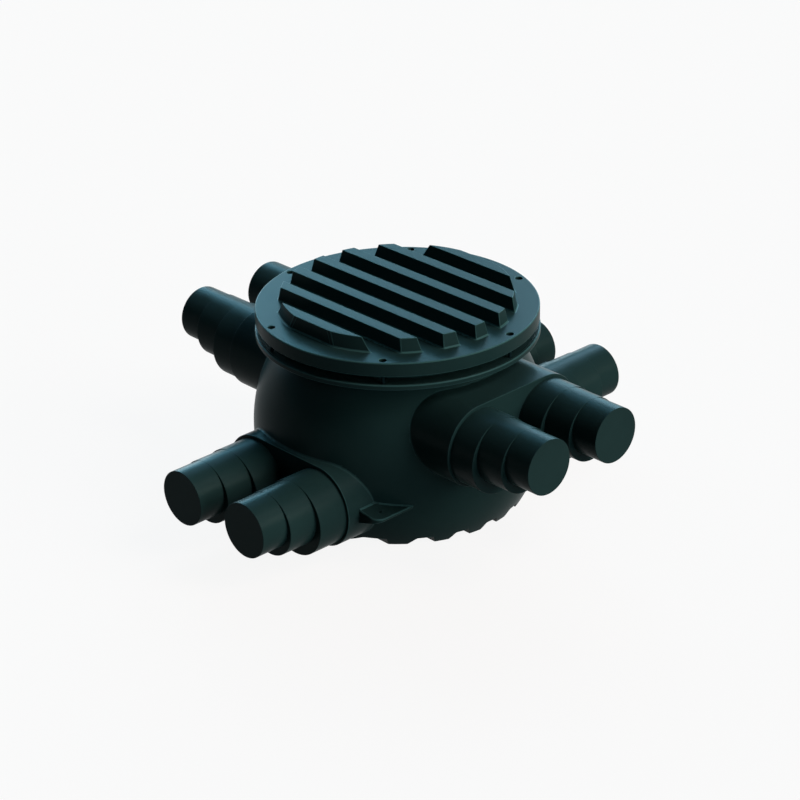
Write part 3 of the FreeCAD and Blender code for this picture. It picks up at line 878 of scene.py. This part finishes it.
# Finishes.
def moulded_plastic(name, dark, light, roughness, skin):
    """Satin moulded plastic: cloudy tone, fine grain, a painted highlight on marked edges and a thin
    glossy skin.

    The skin is glossier on faces that look up, a painted sheen on the tops.
    """
    material = bpy.data.materials.new(name)
    material.use_nodes = True
    tree = material.node_tree
    add = tree.nodes.new
    link = tree.links.new
    surface = tree.nodes["Principled BSDF"]
    surface.inputs["Specular IOR Level"].default_value = 0.005
    surface.inputs["Coat Roughness"].default_value = roughness
    surface.inputs["Coat IOR"].default_value = 1.2
    where = add("ShaderNodeTexCoord")
    cloud = add("ShaderNodeTexNoise")
    cloud.inputs["Scale"].default_value = 7.0
    cloud.inputs["Detail"].default_value = 6.0
    tone = add("ShaderNodeValToRGB")
    tone.color_ramp.elements[0].position = 0.3
    tone.color_ramp.elements[0].color = (*dark, 1)
    tone.color_ramp.elements[1].position = 0.7
    tone.color_ramp.elements[1].color = (*light, 1)
    # Painted highlight: marked edges get a base colour many times lighter than the plastic.
    highlight_mask = add("ShaderNodeAttribute")
    highlight_mask.attribute_name = "rubbed"
    edge_highlight = add("ShaderNodeMix")
    edge_highlight.data_type = "RGBA"
    edge_highlight.inputs["B"].default_value = (*[HIGHLIGHT_LIFT * part for part in light], 1)
    facing = add("ShaderNodeNewGeometry")
    split = add("ShaderNodeSeparateXYZ")
    # Painted sheen: a stronger coat on faces that look up.
    top_sheen = add("ShaderNodeMapRange")
    top_sheen.interpolation_type = "SMOOTHSTEP"
    top_sheen.inputs["From Min"].default_value = 0.2
    top_sheen.inputs["From Max"].default_value = 0.85
    top_sheen.inputs["To Min"].default_value = skin
    top_sheen.inputs["To Max"].default_value = TOP_SHEEN * skin
    gloss = add("ShaderNodeMapRange")
    gloss.inputs["To Min"].default_value = roughness - 0.05
    gloss.inputs["To Max"].default_value = roughness + 0.10
    grain = add("ShaderNodeTexNoise")
    grain.inputs["Scale"].default_value = 700.0
    grain.inputs["Detail"].default_value = 3.0
    bump = add("ShaderNodeBump")
    bump.inputs["Strength"].default_value = 0.12
    bump.inputs["Distance"].default_value = 0.0004
    link(where.outputs["Object"], cloud.inputs["Vector"])
    link(where.outputs["Object"], grain.inputs["Vector"])
    link(cloud.outputs["Fac"], tone.inputs["Fac"])
    link(highlight_mask.outputs["Fac"], edge_highlight.inputs["Factor"])
    link(tone.outputs["Color"], edge_highlight.inputs["A"])
    link(edge_highlight.outputs["Result"], surface.inputs["Base Color"])
    link(facing.outputs["Normal"], split.inputs["Vector"])
    link(split.outputs["Z"], top_sheen.inputs["Value"])
    link(top_sheen.outputs["Result"], surface.inputs["Coat Weight"])
    link(cloud.outputs["Fac"], gloss.inputs["Value"])
    link(gloss.outputs["Result"], surface.inputs["Roughness"])
    link(grain.outputs["Fac"], bump.inputs["Height"])
    link(bump.outputs["Normal"], surface.inputs["Normal"])
    link(bump.outputs["Normal"], surface.inputs["Coat Normal"])
    return material


PLASTIC_DARK, PLASTIC_LIGHT = (0.0180, 0.0385, 0.0370), (0.0220, 0.0455, 0.0435)
RUBBER_DARK, RUBBER_LIGHT = (0.010, 0.010, 0.010), (0.018, 0.018, 0.018)
FOAM_DARK, FOAM_LIGHT = (0.55, 0.56, 0.57), (0.66, 0.67, 0.68)
STEEL_DARK, STEEL_LIGHT = (0.0095, 0.0220, 0.0240), (0.0130, 0.0280, 0.0300)
body_finish = moulded_plastic("chamber_plastic", PLASTIC_DARK, PLASTIC_LIGHT, 0.30, 0.15)
lid_finish = moulded_plastic("cover_plastic", PLASTIC_DARK, PLASTIC_LIGHT, 0.30, 0.15)
rubber_finish = moulded_plastic("seal_rubber_finish", RUBBER_DARK, RUBBER_LIGHT, 0.7, 0.2)
foam_finish = moulded_plastic("foam_finish", FOAM_DARK, FOAM_LIGHT, 0.8, 0.2)
bolt_finish = moulded_plastic("bolt_coat", STEEL_DARK, STEEL_LIGHT, 0.40, 0.10)

body = chamber_body(body_finish)
body.data.materials.clear()
body.data.materials.append(body_finish)
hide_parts("chamber_body")
high_stubs = pipe_stubs("high", HIGH_STUB_LENGTHS, body_finish)
low_stubs = pipe_stubs("low", STUB_LENGTHS, body_finish)
cover = lid(lid_finish)
bolts = lid_bolts(bolt_finish)
dressed = [
    (body, "body_plastic"),
    (high_stubs, "body_plastic"),
    (low_stubs, "body_plastic"),
    (cover, "lid_plastic"),
    (bolts, "bolt_steel"),
]
for piece, slot in dressed:
    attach(piece, "root")
kept = [("lid_seal", rubber_finish), ("lid_insulation", foam_finish)]
kept += [("thread_insert_%d" % (k + 1), bolt_finish) for k in range(BOLT_COUNT)]
for name, finish in kept:
    for slot in nodes[name].material_slots:
        slot.material = finish


# Floor and horizon: white for the camera and in reflections, dim for the light that they throw back.
def seen_directly(tree):
    """1 for rays from the camera, off a glossy surface or through glass, else 0."""
    path = tree.nodes.new("ShaderNodeLightPath")
    first = tree.nodes.new("ShaderNodeMath")
    first.operation = "MAXIMUM"
    second = tree.nodes.new("ShaderNodeMath")
    second.operation = "MAXIMUM"
    tree.links.new(path.outputs["Is Camera Ray"], first.inputs[0])
    tree.links.new(path.outputs["Is Glossy Ray"], first.inputs[1])
    tree.links.new(first.outputs[0], second.inputs[0])
    tree.links.new(path.outputs["Is Transmission Ray"], second.inputs[1])
    return second.outputs[0]


def floor_finish(glow, pale, dim):
    """Pale floor that keeps a light shadow."""
    material = bpy.data.materials.new("floor_pale")
    material.use_nodes = True
    tree = material.node_tree
    tree.nodes.clear()
    add = tree.nodes.new
    link = tree.links.new
    out = add("ShaderNodeOutputMaterial")
    paint = add("ShaderNodeBsdfDiffuse")
    paint.inputs["Color"].default_value = (*pale, 1)
    light = add("ShaderNodeEmission")
    light.inputs["Color"].default_value = (1, 1, 1, 1)
    light.inputs["Strength"].default_value = 1.0
    white = add("ShaderNodeMixShader")
    white.inputs["Fac"].default_value = glow
    dull = add("ShaderNodeBsdfDiffuse")
    dull.inputs["Color"].default_value = (dim, dim, dim, 1)
    choose = add("ShaderNodeMixShader")
    link(paint.outputs["BSDF"], white.inputs[1])
    link(light.outputs["Emission"], white.inputs[2])
    link(seen_directly(tree), choose.inputs["Fac"])
    link(dull.outputs["BSDF"], choose.inputs[1])
    link(white.outputs["Shader"], choose.inputs[2])
    link(choose.outputs["Shader"], out.inputs["Surface"])
    return material


bm = bmesh.new()
bmesh.ops.create_circle(bm, cap_ends=True, segments=96, radius=40)
ground = object_from("floor", bm)
FLOOR_GLOW, FLOOR_PAINT, FLOOR_DIM = 0.90, (1.0, 0.70, 0.60), 0.10
ground.data.materials.append(floor_finish(FLOOR_GLOW, FLOOR_PAINT, FLOOR_DIM))

world = bpy.data.worlds.new("studio")
world.use_nodes = True
tree = world.node_tree
unlit = tree.nodes["Background"]
unlit.inputs["Color"].default_value = (0, 0, 0, 1)
unlit.inputs["Strength"].default_value = 0.0
way = tree.nodes.new("ShaderNodeTexCoord")
split = tree.nodes.new("ShaderNodeSeparateXYZ")
fade = tree.nodes.new("ShaderNodeValToRGB")
fade.color_ramp.elements[0].position = 0.02
fade.color_ramp.elements[0].color = (1, 1, 1, 1)
fade.color_ramp.elements[1].position = 0.14
fade.color_ramp.elements[1].color = (0.12, 0.12, 0.12, 1)
horizon = tree.nodes.new("ShaderNodeBackground")
horizon.inputs["Strength"].default_value = 1.0
choose = tree.nodes.new("ShaderNodeMixShader")
tree.links.new(way.outputs["Object"], split.inputs["Vector"])
tree.links.new(split.outputs["Z"], fade.inputs["Fac"])
tree.links.new(fade.outputs["Color"], horizon.inputs["Color"])
tree.links.new(seen_directly(tree), choose.inputs["Fac"])
tree.links.new(unlit.outputs["Background"], choose.inputs[1])
tree.links.new(horizon.outputs["Background"], choose.inputs[2])
tree.links.new(choose.outputs["Shader"], tree.nodes["World Output"].inputs["Surface"])
bpy.context.scene.world = world

# Light: soft lamps round the object, cool from the back and plain from the right, each given by its
# direction, its height and its share of red, green and blue.
LAMPS = (
    ("back", 120, 25, (0.214, 0.390, 0.503)),
    ("back_high", 135, 50, (0.025, 0.066, 0.112)),
    ("back_low", 150, 8, (0.214, 0.312, 0.349)),
    ("back_left", 150, 25, (0.084, 0.256, 0.356)),
    ("back_right_low", 120, 8, (0.053, 0.117, 0.146)),
    ("left", 180, 16, (0.079, 0.172, 0.228)),
    ("right_high", 30, 50, (0.262, 0.282, 0.285)),
    ("right", 30, 22, (0.280, 0.331, 0.306)),
    ("front_right_low", 0, 10, (0.131, 0.190, 0.207)),
)
for name, degrees_round, degrees_up, share in LAMPS:
    lamp = bpy.data.lights.new(name, "SUN")
    lamp.angle = LAMP_SPREAD
    lamp.color = [part / max(share) for part in share]
    lamp.energy = math.pi * max(share)
    holder = bpy.data.objects.new(name, lamp)
    turn, rise = math.radians(degrees_round), math.radians(degrees_up)
    towards = Vector((math.cos(turn) * math.cos(rise), math.sin(turn) * math.cos(rise), math.sin(rise)))
    holder.rotation_euler = towards.to_track_quat("Z", "Y").to_euler()
    bpy.context.scene.collection.objects.link(holder)

# Camera.
CAMERA_TURN = math.radians(46.9066)
CAMERA_RISE = math.radians(26.2)
CAMERA_ROLL = math.radians(-1.1152)
CAMERA_TARGET = Vector((-0.1283, 0.1226, 0.1502))
CAMERA_DISTANCE, CAMERA_LENS = 7.0313, 123.14
back = Vector(
    (
        math.sin(CAMERA_TURN) * math.cos(CAMERA_RISE),
        -math.cos(CAMERA_TURN) * math.cos(CAMERA_RISE),
        math.sin(CAMERA_RISE),
    )
)
right = Vector((math.cos(CAMERA_TURN), math.sin(CAMERA_TURN), 0))
up = back.cross(right)
turned_right = right * math.cos(CAMERA_ROLL) + up * math.sin(CAMERA_ROLL)
turned_up = up * math.cos(CAMERA_ROLL) - right * math.sin(CAMERA_ROLL)
lens = bpy.data.cameras.new("camera")
lens.lens = CAMERA_LENS
lens.sensor_width = 36
lens.clip_end = 100
camera = bpy.data.objects.new("camera", lens)
columns = Matrix((turned_right, turned_up, back)).transposed().to_4x4()
camera.matrix_world = Matrix.Translation(CAMERA_TARGET + back * CAMERA_DISTANCE) @ columns
bpy.context.scene.collection.objects.link(camera)
bpy.context.scene.camera = camera
bpy.context.scene.view_settings.view_transform = "Standard"
